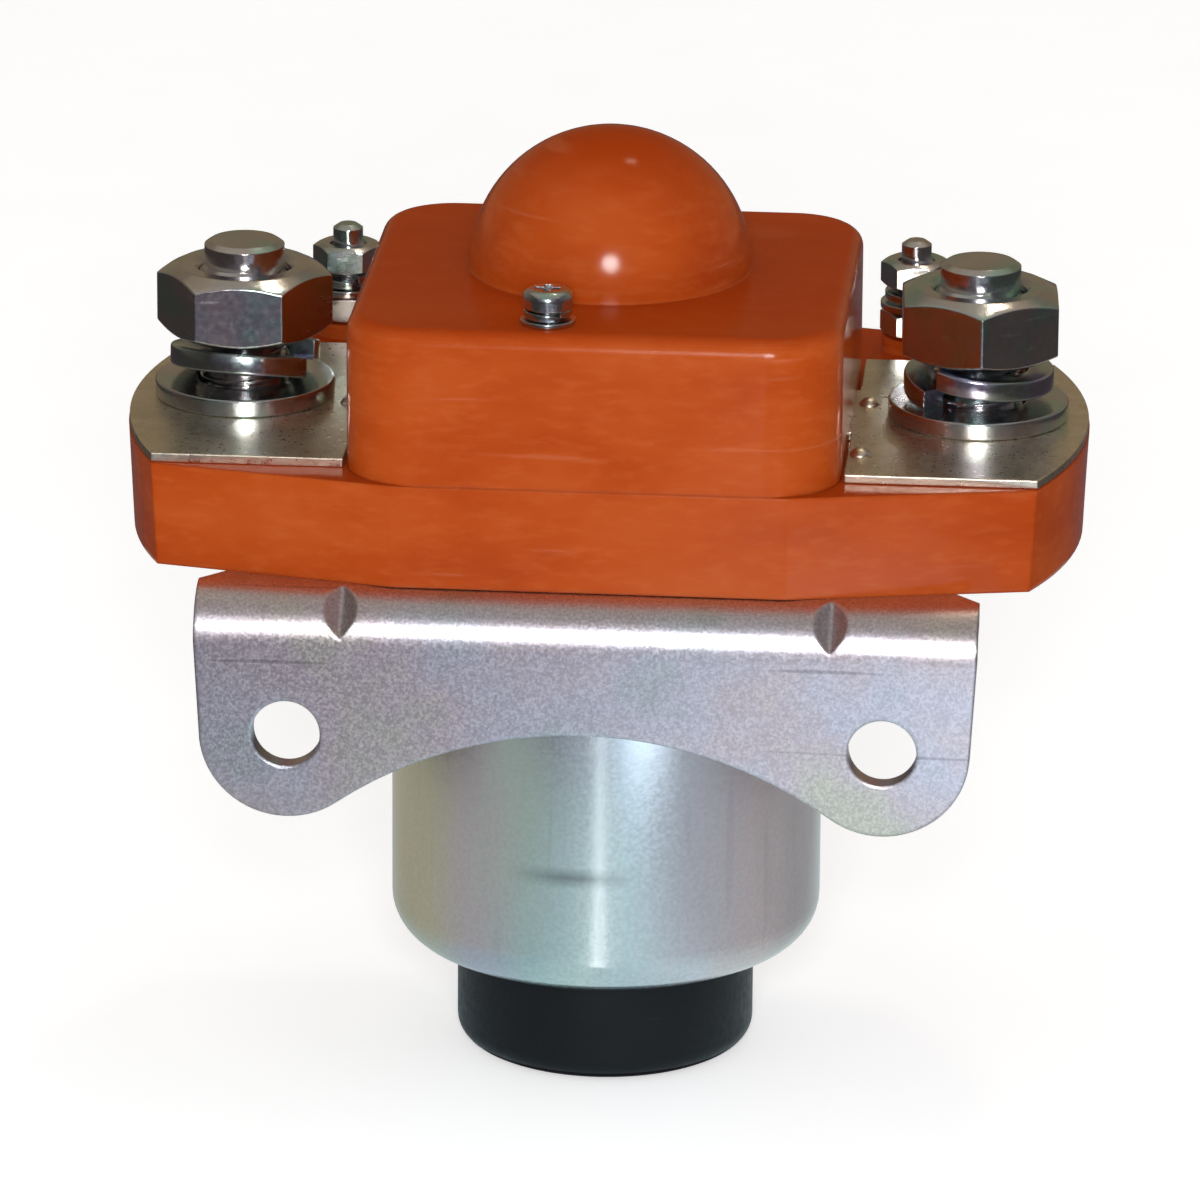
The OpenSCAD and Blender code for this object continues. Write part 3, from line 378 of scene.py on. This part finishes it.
def node_slots():
    """The record's material slot of each CAD node."""
    return {part["node"]: part["material_slot"] for part in frame["record"]["subparts"]}


def dress(node, finish):
    """Gives a CAD node its finish."""
    shown = NODES[node]
    shown.data.materials.clear()
    shown.data.materials.append(FINISHES[finish])


# Two faces that meet at less than the first turn count as one; an edge above the second is rounded
FLAT_ANGLE, ROUND_ANGLE = math.radians(0.5), math.radians(24)
# Points of a CAD mesh closer than this are one
WELD_GAP = 1e-6


def soften(width, *nodes):
    """Rounds the sharp edges of CAD nodes with modifiers; their meshes stay as they are."""
    for node in nodes:
        shown = NODES[node]
        shown.modifiers.new("weld", "WELD").merge_threshold = WELD_GAP
        flat = shown.modifiers.new("flat", "DECIMATE")
        flat.decimate_type = "DISSOLVE"
        flat.angle_limit = FLAT_ANGLE
        edge = shown.modifiers.new("edge", "BEVEL")
        edge.width = width * MM
        edge.segments = 3
        edge.limit_method = "ANGLE"
        edge.angle_limit = ROUND_ANGLE
        edge.use_clamp_overlap = True
        shown.modifiers.new("normals", "WEIGHTED_NORMAL").keep_sharp = True


# Faces of a piece that meet at more than this keep a sharp edge
SHARP_ANGLE = math.radians(32)


def piece(name, rings, body, slot, *nodes, wrap=False):
    """A mesh through rings of points, its ends closed or joined, that rides on a body for CAD nodes."""
    sides = len(rings[0])
    count = len(rings)
    faces = []
    for i in range(count if wrap else count - 1):
        this, after = i * sides, (i + 1) % count * sides
        for j in range(sides):
            k = (j + 1) % sides
            faces.append((this + j, this + k, after + k, after + j))
    if not wrap:
        faces += [tuple(range(sides)), tuple(range((count - 1) * sides, count * sides))]
    mesh = bpy.data.meshes.new(name)
    mesh.from_pydata([point for ring in rings for point in ring], [], faces)
    shape = bmesh.new()
    shape.from_mesh(mesh)
    bmesh.ops.recalc_face_normals(shape, faces=shape.faces)
    shape.to_mesh(mesh)
    shape.free()
    for face in mesh.polygons:
        face.use_smooth = True
    mesh.set_sharp_from_angle(angle=SHARP_ANGLE)
    mesh.materials.append(FINISHES[slot])
    made = bpy.data.objects.new(name, mesh)
    bpy.context.scene.collection.objects.link(made)
    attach(made, body)
    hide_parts(*nodes)
    return made


def circle(x, y, z, radius, sides):
    """Points of a level circle; the radius is a number or a function of the turn, 0 to 1."""
    points = []
    for j in range(sides):
        turn = j / sides
        r = radius(turn) if callable(radius) else radius
        points.append((x + r * math.cos(math.tau * turn), y + r * math.sin(math.tau * turn), z))
    return points


def hexagon_radius(across_flats):
    """Radius of a hexagon with a corner on +X, as a function of the turn."""
    return lambda turn: across_flats / 2 / math.cos(turn % (1 / 6) * math.tau - math.pi / 6)


def thread_radius(z, major, depth, pitch):
    """Radius of a right-hand thread at a height, with narrow flats on its crests and roots."""
    crest, flank = 0.12, 0.72

    def radius(turn):
        wave = abs(2 * ((z / pitch - turn) % 1) - 1)
        return major - depth * min(1, max(0, (wave - crest) / flank))
    return radius


def wire_radius(z, outer, wire):
    """Outside of a winding at a height: turns of round wire that all but touch."""
    roundness = 0.96

    def radius(turn):
        wave = 2 * ((z / wire - turn) % 1) - 1
        return outer - wire / 2 * (1 - math.sqrt(max(0, 1 - wave * wave * roundness)))
    return radius


def middle(node):
    """Middle of a CAD node's box."""
    low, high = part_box(node)
    return (Vector(low) + Vector(high)) / 2


def threaded_stud(node, nut_node, major, end, pitch, flats, head_h):
    """Stud with a hexagon head, a cut thread up to its top nut and a plain chamfered end."""
    sides, steps = 48, 8
    low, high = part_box(node)[0][2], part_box(node)[1][2]
    nut_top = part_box(nut_node)[1][2]
    x, y = middle(node).x, middle(node).y
    chamfer = 0.5 * MM
    lead_in = 0.4 * chamfer
    depth = 0.6 * pitch
    head = hexagon_radius(flats)
    rings = [
        circle(x, y, low, 0.46 * flats, sides),
        circle(x, y, low + lead_in, head, sides),
        circle(x, y, low + head_h, head, sides),
        circle(x, y, low + head_h, major - depth, sides),
    ]
    first, last = low + head_h + lead_in / 2, nut_top - (major - end)
    count = round((last - first) / pitch * steps)
    for i in range(count + 1):
        z = first + (last - first) * i / count
        rings.append(circle(x, y, z, thread_radius(z - first, major, depth, pitch), sides))
    rings += [
        circle(x, y, nut_top, end, sides),
        circle(x, y, high - chamfer, end, sides),
        circle(x, y, high - lead_in, end - 0.8 * chamfer, sides),
        circle(x, y, high, end - 1.4 * chamfer, sides),
    ]
    piece("threaded_" + node, rings, "root", "hardware", node)


def split_ring(place, outer, width, thick, rise, angle, tilt):
    """Rings of a split washer: a turn of bar with rounded edges, its ends sprung apart by the rise."""
    steps, gap, corner = 96, 12, 0.14 * thick
    section = []
    for q in range(4):
        u = (width - corner if q in (0, 3) else corner) - width
        v = thick - corner if q in (0, 1) else corner
        for k in range(4):
            bend = math.radians(90 * q + 30 * k)
            section.append((outer + u + corner * math.cos(bend), v + corner * math.sin(bend)))
    rings = []
    for i in range(steps + 1):
        turn = math.radians(angle + gap / 2 + (360 - gap) * i / steps)
        lean = 1 - 2 * i / steps
        lift = rise / 2 * (1 + abs(lean) ** 3 * math.copysign(1, lean))
        ring = []
        for r, v in section:
            y, z = r * math.sin(turn), lift + v
            tilted_y = y * math.cos(tilt) + z * math.sin(tilt)
            tilted_z = z * math.cos(tilt) - y * math.sin(tilt)
            ring.append((r * math.cos(turn), tilted_y, tilted_z))
        rings.append(ring)
    low = min(point[2] for ring in rings for point in ring)
    shift = (thick + rise) / 2 * math.sin(tilt)
    return [[(place.x + x, place.y + y - shift, place.z + z - low) for x, y, z in ring] for ring in rings]


def split_washers(node, places, outer, width, thick, springs):
    """Split washers for a CAD node; each spring is a rise, the angle of its gap and a tilt."""
    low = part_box(node)[0][2]
    for i, ((x, y), (rise, angle, tilt)) in enumerate(zip(places, springs)):
        place = Vector((x, y, low))
        section = (outer * MM, width * MM, thick * MM)
        rings = split_ring(place, *section, rise * MM, angle, math.radians(tilt))
        piece("split_" + node + str(i), rings, "root", "spring_washer", node)


def coil_spring(node, body, wire, turns):
    """Compression spring with one closed turn at each end, as long as its CAD node."""
    sides, steps, closed = 12, 28, 1
    shut = 1.02 * wire
    low, high = (Vector(corner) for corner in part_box(node))
    radius = (high.x - low.x - wire) / 2
    x, y = middle(node).x, middle(node).y
    total = turns + 2 * closed
    free = high.z - low.z - wire
    pitch = (free - 2 * closed * shut) / turns
    rings = []
    for i in range(round(total * steps) + 1):
        turn = i / steps
        lower, upper = min(turn, closed), max(0, turn - closed - turns)
        z = low.z + wire / 2 + (lower + upper) * shut + (turn - lower - upper) * pitch
        ring = []
        for j in range(sides):
            side = math.tau * j / sides
            r = radius + wire / 2 * math.cos(side)
            ring.append((x + r * math.cos(math.tau * turn), y + r * math.sin(math.tau * turn),
                         z + wire / 2 * math.sin(side)))
        rings.append(ring)
    return piece("wound_" + node, rings, body, "spring_wire", node)


def wound_coil(node, bore, wire):
    """Winding whose outside shows its turns of wire."""
    sides, steps = 72, 5
    low, high = (Vector(corner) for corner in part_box(node))
    outer = (high.x - low.x) / 2
    count = round((high.z - low.z) / wire * steps)
    rings = [circle(0, 0, low.z, bore, sides)]
    for i in range(count + 1):
        z = low.z + (high.z - low.z) * i / count
        rings.append(circle(0, 0, z, wire_radius(z, outer, wire), sides))
    rings.append(circle(0, 0, high.z, bore, sides))
    piece("turns_of_" + node, rings, "root", "winding", node, wrap=True)


# Thread radius, plain end's radius, pitch, width across flats and head height of the studs, in mm
MAIN_STUD, COIL_STUD = (5, 4.45, 1.5, 16, 5), (2, 1.7, 0.7, 7, 3.2)
# Outer radius, width and thickness of the split washers, in mm
MAIN_SPLIT, COIL_SPLIT, COVER_SPLIT = (8.3, 2.9, 2.3), (3.5, 1.45, 0.9), (2.6, 1.05, 0.8)
# Rise in mm, angle of the gap and tilt of each split washer; the loose left main one is tilted
MAIN_SPRINGS = ((1.9, -22, 10), (2.7, -128, 0))
COIL_SPRINGS = ((0.8, -70, 0), (0.8, -70, 0))
COVER_SPRINGS = ((0.5, -60, 0), (0.5, -60, 0))
COVER_WASHER_R = 3 * MM
# Wire of both springs, and their open turns
SPRING_WIRE = 0.9 * MM
RETURN_TURNS, CONTACT_TURNS = 4.6, 5
WINDING_BORE, WINDING_WIRE = 8.9 * MM, 0.75 * MM


def build_hardware():
    """Threaded studs, smooth split washers, springs and the winding, for their plain CAD nodes."""
    for side in ("left", "right"):
        threaded_stud("main_stud_" + side, "main_nuts", *(length * MM for length in MAIN_STUD))
        threaded_stud("coil_stud_" + side, "coil_upper_nuts", *(length * MM for length in COIL_STUD))
    mains = [middle("main_stud_" + side).xy for side in ("left", "right")]
    coils = [middle("coil_stud_" + side).xy for side in ("left", "right")]
    low, high = (Vector(corner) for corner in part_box("cover_flat_washers"))
    rim = Vector((COVER_WASHER_R, COVER_WASHER_R))
    covers = [low.xy + rim, high.xy - rim]
    split_washers("main_spring_washers", mains, *MAIN_SPLIT, MAIN_SPRINGS)
    split_washers("coil_spring_washers", coils, *COIL_SPLIT, COIL_SPRINGS)
    split_washers("cover_spring_washers", covers, *COVER_SPLIT, COVER_SPRINGS)
    back = coil_spring("return_spring", "root", SPRING_WIRE, RETURN_TURNS)
    low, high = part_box("return_spring")
    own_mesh(back)
    press = coil_spring("contact_spring", "armature", SPRING_WIRE, CONTACT_TURNS)
    low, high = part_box("contact_spring")
    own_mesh(press)
    wound_coil("coil_winding", WINDING_BORE, WINDING_WIRE)


def plane(name, corners, material):
    """One face of the studio, which isn't part of the object."""
    mesh = bpy.data.meshes.new(name)
    mesh.from_pydata(corners, [], [tuple(range(len(corners)))])
    made = bpy.data.objects.new(name, mesh)
    made.data.materials.append(material)
    bpy.context.scene.collection.objects.link(made)
    return made


def card(name, corners, glow, axis="X", ends=(-1, 1)):
    """A surface that only reflections see; its glow runs from one colour to the next along an axis."""
    made = Surface(name, (0, 0, 0), roughness=1.0, specular_ior_level=0.0, emission_strength=1.0)
    unevenness = made.span(made.noise(0.3), 0, 1, -0.06, 0.06)
    wave = made.math("ADD", made.span(made.axis(axis), *ends), unevenness)
    stops = [(i / max(1, len(glow) - 1), colour) for i, colour in enumerate(glow)]
    made.join(made.ramp(wave, *stops), made.shader.inputs["Emission Color"])
    shown = plane(name, corners, made.material)
    for kind in ("camera", "diffuse", "transmission", "volume_scatter", "shadow"):
        setattr(shown, "visible_" + kind, False)
    return shown


def area(name, place, aim, size, power, colour=(1, 1, 1)):
    """A round lamp that the camera doesn't see."""
    lamp = bpy.data.lights.new(name, "AREA")
    lamp.shape = "DISK"
    lamp.size = size
    lamp.energy = power
    lamp.color = colour
    made = bpy.data.objects.new(name, lamp)
    made.location = place
    made.rotation_euler = (Vector(aim) - Vector(place)).to_track_quat("-Z", "Y").to_euler()
    made.visible_camera = False
    bpy.context.scene.collection.objects.link(made)


# The flash: a little farther from the origin than the camera, and above it
KEY_SIZE, KEY_POWER = 0.22, 6
KEY_AWAY, KEY_ABOVE = 1.02, Vector((0, 0, 0.02))
# Direction of the small warm lamp, from its highlight on the dome, and its distance
LAMP_WAY = Vector((0.159, 0.383, 0.91))
LAMP_DISTANCE, LAMP_SIZE, LAMP_POWER = 1.2, 0.13, 0.9
LAMP_COLOUR = (1, 0.86, 0.62)
LAMP_AIM = Vector((0, 0, 0.1))
# Light of the white surroundings: on the object, and as the camera and reflections see them
FILL, SEEN = 0.5, 1.0
# What the camera sees on the floor beyond its own shade
FLOOR_LIFT = 0.42
# Colours that the metal mirrors, each list along its card
TABLE_GLOW = [(0.05, 0.04, 0.035), (0.11, 0.09, 0.11), (0.12, 0.1, 0.12), (0.06, 0.05, 0.045)]
MIDDLE_TABLE_GLOW = [(0.22, 0.2, 0.25), (0.39, 0.37, 0.46), (0.62, 0.63, 0.73), (2.1, 2.4, 2.65)]
NEAR_TABLE_GLOW = [(0.5, 0.5, 0.46), (0.46, 0.57, 0.62), (0.68, 0.82, 0.82), (0.52, 0.56, 0.58)]
WALL_GLOW = [(0.24, 0.19, 0.12), (0.22, 0.17, 0.11), (0.2, 0.17, 0.13)]
NEAR_GLOW = [(0.05, 0.04, 0.05), (0.14, 0.13, 0.14), (0.2, 0.19, 0.19)]
LEFT_GLOW = [(0.03, 0.022, 0.018), (0.1, 0.085, 0.07), (0.2, 0.18, 0.14)]
RIGHT_GLOW = [(0.05, 0.04, 0.045), (0.14, 0.12, 0.12), (0.24, 0.22, 0.18)]
CEILING_GLOW = [(0.3, 0.28, 0.26), (0.42, 0.38, 0.32), (0.3, 0.24, 0.16)]
STRIP_GLOW = [(1.9, 1.95, 2.0), (1.9, 1.95, 2.0)]
# The strip in front of the can: its direction, width, ends, and how many times it widens
STRIP_AZIMUTH = math.radians(-1.5)
STRIP_W = 0.005
STRIP_START, STRIP_END, STRIP_SPREAD = 0.045, 0.6, 3
# Half the room's width, its height, and how far its cards lie above the floor
ROOM, ROOM_H, CARD_LIFT = 2.2, 2.4, 0.0005
FLOOR_REACH = 4
# Half width, front and rear edge of the two cards under the object
MIDDLE_TABLE, NEAR_TABLE = (0.11, -0.22, -0.125), (0.125, -0.125, 0.125)
# Where the glow begins and ends across the table, and across the cards under the object
TABLE_ENDS, OBJECT_ENDS = (-0.2, 0.2), (-0.06, 0.06)


def build_studio():
    """White surroundings, the floor, the cards, the flash and the warm lamp."""
    world = bpy.data.worlds.new("studio")
    world.use_nodes = True
    bpy.context.scene.world = world
    tree = world.node_tree
    back = tree.nodes["Background"]
    path = tree.nodes.new("ShaderNodeLightPath")
    seen = path.outputs["Is Camera Ray"]
    for kind in ("Is Glossy Ray", "Is Transmission Ray"):
        either = tree.nodes.new("ShaderNodeMath")
        either.operation = "MAXIMUM"
        tree.links.new(seen, either.inputs[0])
        tree.links.new(path.outputs[kind], either.inputs[1])
        seen = either.outputs[0]
    level = tree.nodes.new("ShaderNodeMapRange")
    level.inputs["To Min"].default_value = FILL
    level.inputs["To Max"].default_value = SEEN
    tree.links.new(seen, level.inputs["Value"])
    tree.links.new(level.outputs[0], back.inputs["Strength"])
    back.inputs["Color"].default_value = (1, 1, 1, 1)
    build_floor()
    build_cards()
    eye = bpy.context.scene.camera.matrix_world.translation
    area("key", eye * KEY_AWAY + KEY_ABOVE, TARGET, KEY_SIZE, KEY_POWER)
    area("ceiling_lamp", LAMP_WAY * LAMP_DISTANCE + LAMP_AIM, LAMP_AIM, LAMP_SIZE, LAMP_POWER, LAMP_COLOUR)


def level_corners(left, right, front, back, z):
    """Corners of a level face."""
    return [(left, front, z), (right, front, z), (right, back, z), (left, back, z)]


def upright_corners(start, end, low, high):
    """Corners of an upright face between two places on the floor."""
    return [(*start, low), (*end, low), (*end, high), (*start, high)]


def build_floor():
    """Plain pale floor: near white to the camera, and the object's shadow stays on it."""
    ground = Surface("floor", (0.9, 0.9, 0.9), roughness=0.9, specular_ior_level=0.1)
    ground.colour(ground.ramp(ground.noise(0.02), (0.3, 0.89), (0.7, 0.91)))
    seen = ground.node("ShaderNodeLightPath").outputs["Is Camera Ray"]
    ground.join(ground.math("MULTIPLY", seen, FLOOR_LIFT), ground.shader.inputs["Emission Strength"])
    ground.shader.inputs["Emission Color"].default_value = (1, 1, 1, 1)
    reach = FLOOR_REACH
    plane("floor", level_corners(-reach, reach, -reach, reach, 0), ground.material)


def build_cards():
    """The room that the metal mirrors: a dark table in front, a tan wall behind, dark sides."""
    reach, low, high = ROOM, CARD_LIFT, ROOM_H
    card("table", level_corners(-reach, reach, -reach, reach, low), TABLE_GLOW, "X", TABLE_ENDS)
    for name, y, glow in (("wall", reach, WALL_GLOW), ("near_wall", -reach, NEAR_GLOW)):
        card(name, upright_corners((-reach, y), (reach, y), low, high), glow, "Z", (0, high))
    for name, x, glow in (("side_left", -reach, LEFT_GLOW), ("side_right", reach, RIGHT_GLOW)):
        card(name, upright_corners((x, -reach), (x, reach), low, high), glow, "Y", (-reach, reach))
    card("ceiling", level_corners(-reach, reach, -reach, reach, high), CEILING_GLOW, "Y", (-reach, reach))
    for name, (half, front, back), glow in (
        ("table_middle", MIDDLE_TABLE, MIDDLE_TABLE_GLOW),
        ("table_near", NEAR_TABLE, NEAR_TABLE_GLOW),
    ):
        card(name, level_corners(-half, half, front, back, 2 * low), glow, "X", OBJECT_ENDS)
    # A bright strip on the table gives the can its narrow upright highlight
    away = Vector((-math.sin(STRIP_AZIMUTH), -math.cos(STRIP_AZIMUTH), 0))
    across = Vector((away.y, -away.x, 0)) * STRIP_W / 2
    lift = Vector((0, 0, 2 * low))
    start, end = away * STRIP_START + lift, away * STRIP_END + lift
    wide = across * STRIP_SPREAD
    card("strip", [start - across, start + across, end + wide, end - wide], STRIP_GLOW)


build_studio()
SLOT_OF = node_slots()
for name in NODES:
    if name in SLOT_OF:
        dress(name, SLOT_OF[name])

build_hardware()
soften(0.3, "main_nuts", "main_flat_washers", "bottom_cap", "contact_bridge")
soften(0.2, "terminal_plate_left", "terminal_plate_right", "plunger")
soften(0.2, "bridge_contact_tips", "fixed_contact_tips")
soften(0.12, "coil_lower_nuts", "coil_upper_nuts", "coil_flat_washers", "cover_flat_washers", "shaft_nut")
